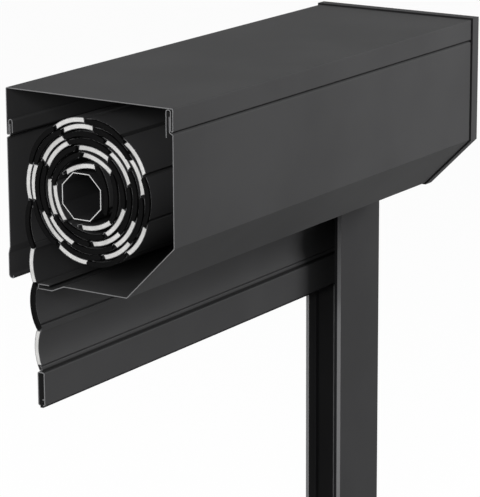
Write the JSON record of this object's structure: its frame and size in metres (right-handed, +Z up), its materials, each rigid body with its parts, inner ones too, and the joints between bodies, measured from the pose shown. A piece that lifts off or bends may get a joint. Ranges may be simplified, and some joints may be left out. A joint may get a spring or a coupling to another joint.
{
  "type": "exterior roller shutter",
  "caption": "Cut-open exterior roller shutter: bevelled sheet casing, foam-filled slats wound on an octagonal motor tube and hanging in a guide rail.",
  "frame": {"origin": "on the wall plane, at mid length, half way up the back wall's bottom strip", "axes": "+X along the casing to the capped end, +Y into the wall, +Z up"},
  "size_m": [0.5098, 0.1731, 0.5752],
  "materials": {
    "casing_coat": "anthracite powder coat",
    "rail_coat": "anthracite powder coat",
    "slat_coat": "anthracite roll coating",
    "foam": "off-white foam",
    "black_plastic": "black plastic",
    "grey_plastic": "dark grey plastic",
    "rubber": "black rubber and brush",
    "galvanised": "galvanised steel",
    "motor_steel": "grey paint"
  },
  "bodies": {
    "casing": {"top_hood": "casing_coat", "front_panel": "casing_coat", "back_wall": "casing_coat", "side_cap": "casing_coat", "casing_screws": "galvanised", "cable_grommet": "rubber", "motor_bracket": "galvanised", "bracket_screws": "galvanised", "motor_head": "black_plastic", "motor_body": "motor_steel", "guide_rail": "rail_coat", "rail_seals": "rubber", "rail_inlet": "black_plastic", "rail_spigot": "black_plastic", "rail_foot": "black_plastic"},
    "coil": {"octagonal_tube": "galvanised", "crown_ring": "grey_plastic", "drive_wheel": "grey_plastic", "drive_shaft": "galvanised", "hanger_springs": "galvanised", "turn_1_skins": "slat_coat", "turn_1_foam": "foam", "turn_1_end_locks": "black_plastic", "turn_2_skins": "slat_coat", "turn_2_foam": "foam", "turn_2_end_locks": "black_plastic", "turn_3_skins": "slat_coat", "turn_3_foam": "foam", "turn_3_end_locks": "black_plastic", "turn_4_skins": "slat_coat", "turn_4_foam": "foam", "turn_4_end_locks": "black_plastic", "turn_5_skins": "slat_coat", "turn_5_foam": "foam", "turn_5_end_locks": "black_plastic", "turn_6_skins": "slat_coat", "turn_6_foam": "foam", "turn_6_end_locks": "black_plastic", "turn_7_skins": "slat_coat", "turn_7_foam": "foam", "turn_7_end_locks": "black_plastic"},
    "slat_1": {"slat_1_skin": "slat_coat", "slat_1_foam": "foam", "slat_1_end_locks": "black_plastic"},
    "slat_2": {"slat_2_skin": "slat_coat", "slat_2_foam": "foam"},
    "slat_3": {"slat_3_skin": "slat_coat", "slat_3_foam": "foam", "slat_3_end_locks": "black_plastic"},
    "slat_4": {"slat_4_skin": "slat_coat", "slat_4_foam": "foam"},
    "bar": {"bottom_bar": "slat_coat", "bar_seal": "rubber", "bar_end_cap": "black_plastic"}
  },
  "joints": [
    {"name": "shaft_turn", "type": "hinge", "parent": "casing", "child": "coil", "pos_m": [0, -0.0784, 0.0699], "axis": [1, 0, 0], "range_deg": [-3, 15]},
    {"name": "slat_1_hook", "type": "hinge", "parent": "coil", "child": "slat_1", "pos_m": [0, -0.02531, 0.05803], "axis": [1, 0, 0], "range_deg": [-18, 4]},
    {"name": "curtain_slide", "type": "slide", "parent": "casing", "child": "slat_2", "axis": [0, 0, 1], "range_m": [-0.004, 0.016]},
    {"name": "slit_2_3", "type": "slide", "parent": "slat_2", "child": "slat_3", "axis": [0, 0, 1], "range_m": [-0.0016, 0]},
    {"name": "slit_3_4", "type": "slide", "parent": "slat_3", "child": "slat_4", "axis": [0, 0, 1], "range_m": [0, 0.0016]},
    {"name": "slit_4_bar", "type": "slide", "parent": "slat_4", "child": "bar", "axis": [0, 0, 1], "range_m": [-0.0008, 0.0008]}
  ],
  "couplings": [
    {"joint": "slat_1_hook", "follows": "shaft_turn", "ratio": -1.14},
    {"joint": "curtain_slide", "follows": "shaft_turn", "m_per_rad": 0.0538}
  ]
}
